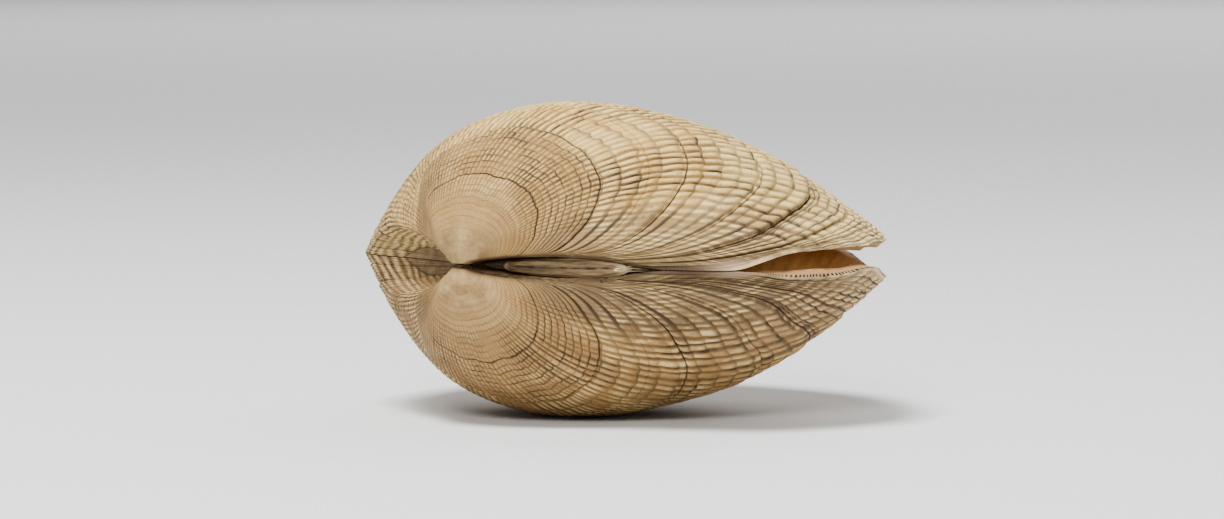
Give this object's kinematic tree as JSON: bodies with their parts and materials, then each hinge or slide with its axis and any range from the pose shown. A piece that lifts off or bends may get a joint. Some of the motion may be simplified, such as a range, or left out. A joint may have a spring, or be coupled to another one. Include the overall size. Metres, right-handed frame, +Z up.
{
  "type": "clam shell",
  "caption": "Closed littleneck clam shell, cream to tan, with growth ledges and fine ribs, a dry brown ligament behind the beaks and a worn gape at the siphon end.",
  "frame": {"origin": "on the small flat that the shell rests on, at the bottom of the left valve", "axes": "+X from the beaks' end to the siphon end, +Y from the hinge to the belly, +Z up through the right valve"},
  "size_m": [0.0554, 0.0442, 0.032],
  "materials": {
    "right_valve": "dry chalky shell, matt, with brown in its grooves",
    "left_valve": "dry chalky shell, matt, with brown in its grooves",
    "ligament": "dry, fibrous and dull"
  },
  "bodies": {
    "root": {"right_valve": "right_valve", "left_valve": "left_valve", "ligament": "ligament"}
  },
  "joints": []
}
